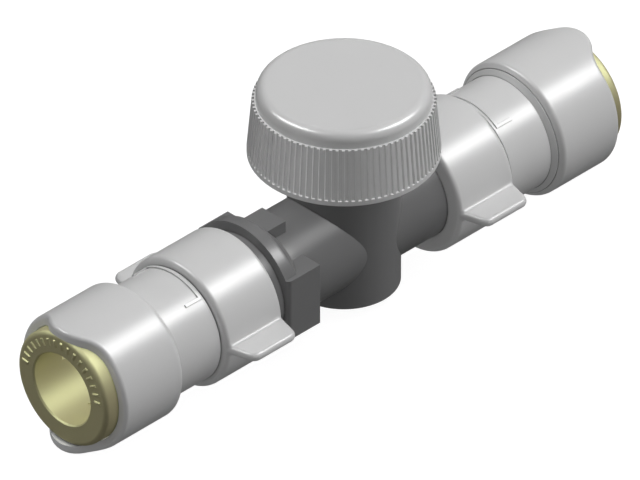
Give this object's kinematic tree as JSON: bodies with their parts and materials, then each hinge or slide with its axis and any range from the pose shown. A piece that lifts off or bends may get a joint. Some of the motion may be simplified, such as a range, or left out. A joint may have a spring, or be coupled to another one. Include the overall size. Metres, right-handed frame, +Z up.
{
  "type": "isolating valve",
  "caption": "Inline screw-down isolating valve with a round knurled knob and a push-fit pipe socket held by a wing nut on each arm.",
  "frame": {"origin": "where the pipe axis and the spindle axis cross, inside the barrel", "axes": "+X along the pipe towards the shorter arm, +Z up the spindle towards the knob"},
  "size_m": [0.144, 0.0394, 0.0482],
  "materials": {
    "light_grey": "satin moulded",
    "dark_body": "satin moulded",
    "olive_collet": "satin moulded",
    "white_acetal": "machined",
    "seal_rubber": "smooth",
    "spring_steel": "bright",
    "brass": "turned"
  },
  "bodies": {
    "valve": {"valve_body": "dark_body", "bonnet": "white_acetal", "bonnet_seal": "seal_rubber"},
    "knob": {"knob": "light_grey", "spindle": "brass", "spindle_seal_lower": "seal_rubber", "spindle_seal_upper": "seal_rubber", "spindle_clip": "spring_steel"},
    "plunger": {"plunger": "white_acetal", "seat_washer": "seal_rubber"},
    "connector_left": {"connector_body_left": "light_grey", "nut_retainer_left": "spring_steel", "joint_washer_left": "seal_rubber", "pipe_seal_left": "seal_rubber", "seal_spacer_left": "white_acetal", "grip_ring_left": "spring_steel", "grip_sleeve_left": "white_acetal"},
    "nut_left": {"wing_nut_left": "light_grey"},
    "cap_left": {"end_cap_left": "light_grey"},
    "collet_left": {"collet_left": "olive_collet"},
    "connector_right": {"connector_body_right": "light_grey", "nut_retainer_right": "spring_steel", "joint_washer_right": "seal_rubber", "pipe_seal_right": "seal_rubber", "seal_spacer_right": "white_acetal", "grip_ring_right": "spring_steel", "grip_sleeve_right": "white_acetal"},
    "nut_right": {"wing_nut_right": "light_grey"},
    "cap_right": {"end_cap_right": "light_grey"},
    "collet_right": {"collet_right": "olive_collet"}
  },
  "joints": [
    {"name": "knob_turn", "type": "hinge", "parent": "valve", "child": "knob", "pos_m": [0, 0, 0.0182], "axis": [0, 0, 1], "range_deg": [-720, 0]},
    {"name": "plunger_lift", "type": "slide", "parent": "valve", "child": "plunger", "axis": [0, 0, 1], "range_m": [-0.003, 0]},
    {"name": "connector_slide_left", "type": "slide", "parent": "valve", "child": "connector_left", "axis": [-1, 0, 0], "range_m": [0, 0.00726]},
    {"name": "nut_turn_left", "type": "hinge", "parent": "connector_left", "child": "nut_left", "pos_m": [-0.0385, 0, 0], "axis": [-1, 0, 0], "range_deg": [0, 1440]},
    {"name": "cap_twist_left", "type": "hinge", "parent": "connector_left", "child": "cap_left", "pos_m": [-0.0635, 0, 0], "axis": [-1, 0, 0], "range_deg": [0, 90]},
    {"name": "collet_push_left", "type": "slide", "parent": "cap_left", "child": "collet_left", "axis": [1, 0, 0], "range_m": [0, 0.0015]},
    {"name": "connector_slide_right", "type": "slide", "parent": "valve", "child": "connector_right", "axis": [1, 0, 0], "range_m": [0, 0.00726]},
    {"name": "nut_turn_right", "type": "hinge", "parent": "connector_right", "child": "nut_right", "pos_m": [0.0269, 0, 0], "axis": [1, 0, 0], "range_deg": [0, 1440]},
    {"name": "cap_twist_right", "type": "hinge", "parent": "connector_right", "child": "cap_right", "pos_m": [0.0519, 0, 0], "axis": [1, 0, 0], "range_deg": [0, 90]},
    {"name": "collet_push_right", "type": "slide", "parent": "cap_right", "child": "collet_right", "axis": [-1, 0, 0], "range_m": [0, 0.0015]}
  ],
  "couplings": [
    {"joint": "plunger_lift", "follows": "knob_turn", "m_per_rad": 0.00023873},
    {"joint": "connector_slide_left", "follows": "nut_turn_left", "m_per_rad": 0.00028871},
    {"joint": "connector_slide_right", "follows": "nut_turn_right", "m_per_rad": 0.00028871}
  ]
}
